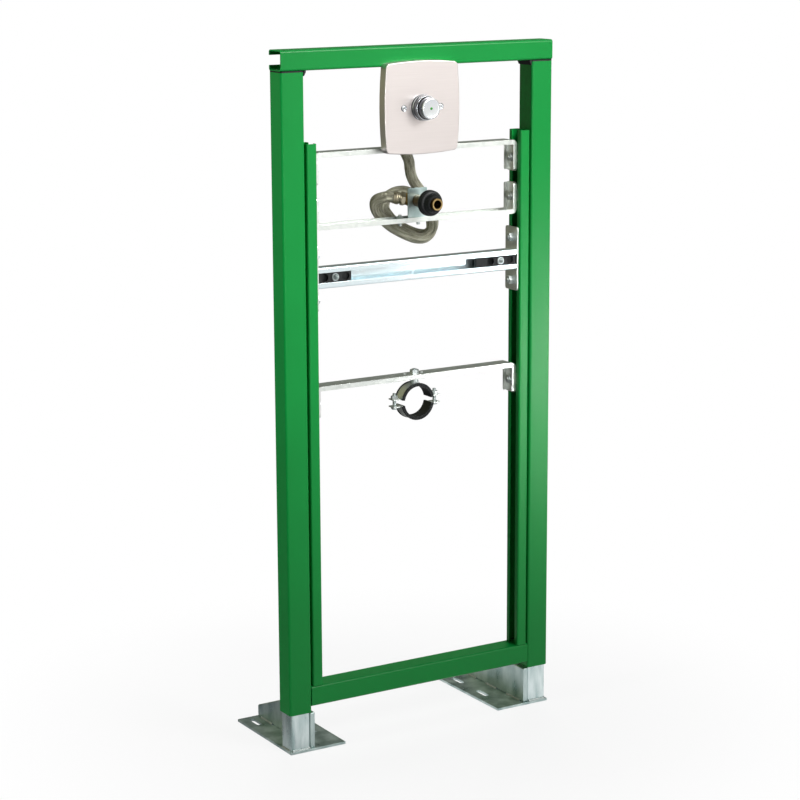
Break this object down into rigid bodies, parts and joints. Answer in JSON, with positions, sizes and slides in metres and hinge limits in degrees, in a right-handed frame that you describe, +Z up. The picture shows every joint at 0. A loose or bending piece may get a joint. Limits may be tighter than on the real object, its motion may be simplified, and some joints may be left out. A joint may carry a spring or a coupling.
{
  "type": "urinal installation frame",
  "caption": "Green steel in-wall frame with telescoping feet, crossbars, fixing rail, push-button flush valve, braided hose and waste pipe clamp for a wall-hung urinal.",
  "frame": {"origin": "on the floor, in the middle of the frame's width and of its depth without the hose", "axes": "+Z up, -Y to the front where the button and the urinal's connections are, +X to the right seen from the front"},
  "size_m": [0.5, 0.234, 1.125],
  "materials": {
    "powder_coat": "satin powder coat",
    "black_plastic": "matt moulded plastic",
    "foot_steel": "bright zinc plated, slightly blue",
    "galvanised_steel": "galvanised sheet, dull silver",
    "zinc_fasteners": "zinc plated",
    "brushed_stainless": "brushed stainless sheet",
    "bright_chrome": "polished chrome",
    "hose_fitting_steel": "nickel plated",
    "steel_braid": "woven stainless wire",
    "brass": "machined",
    "black_rubber": "moulded rubber"
  },
  "bodies": {
    "frame": {"left_post": "powder_coat", "right_post": "powder_coat", "top_rail": "powder_coat", "bottom_rail": "powder_coat", "left_post_cap": "black_plastic", "right_post_cap": "black_plastic", "left_inner_rail": "powder_coat", "right_inner_rail": "powder_coat", "leg_clamp_screws": "foot_steel", "upper_crossbar": "galvanised_steel", "lower_crossbar": "galvanised_steel", "waste_crossbar": "galvanised_steel", "crossbar_bolts": "zinc_fasteners", "fixing_rail": "galvanised_steel", "left_end_plate": "galvanised_steel", "right_end_plate": "galvanised_steel", "left_slide_insert": "black_plastic", "right_slide_insert": "black_plastic", "left_fixing_bush": "zinc_fasteners", "right_fixing_bush": "zinc_fasteners", "valve_bracket": "galvanised_steel", "valve_body": "brass", "bracket_bolts": "zinc_fasteners", "cover_plate": "brushed_stainless", "cover_screws": "bright_chrome", "button_ring": "bright_chrome", "hose_top_nut": "hose_fitting_steel", "braided_hose": "steel_braid", "hose_end_nut": "hose_fitting_steel", "inlet_bracket": "galvanised_steel", "inlet_elbow": "brass", "rubber_collar": "black_rubber", "clamp_upper_band": "galvanised_steel", "clamp_lower_band": "galvanised_steel", "clamp_upper_lining": "black_rubber", "clamp_lower_lining": "black_rubber", "clamp_screws": "zinc_fasteners", "clamp_stud": "zinc_fasteners"},
    "left_foot": {"left_foot_plate": "foot_steel", "left_foot_leg": "foot_steel", "left_foot_gusset": "foot_steel"},
    "right_foot": {"right_foot_plate": "foot_steel", "right_foot_leg": "foot_steel", "right_foot_gusset": "foot_steel"},
    "button": {"push_button": "bright_chrome"}
  },
  "joints": [
    {"name": "left_foot_slide", "type": "slide", "parent": "frame", "child": "left_foot", "axis": [0, 0, -1], "range_m": [0, 0.15]},
    {"name": "right_foot_slide", "type": "slide", "parent": "frame", "child": "right_foot", "axis": [0, 0, -1], "range_m": [0, 0.15]},
    {"name": "button_press", "type": "slide", "parent": "frame", "child": "button", "axis": [0, 1, 0], "range_m": [0, 0.007], "stiffness_N_per_m": 600, "springref_m": -0.006}
  ]
}
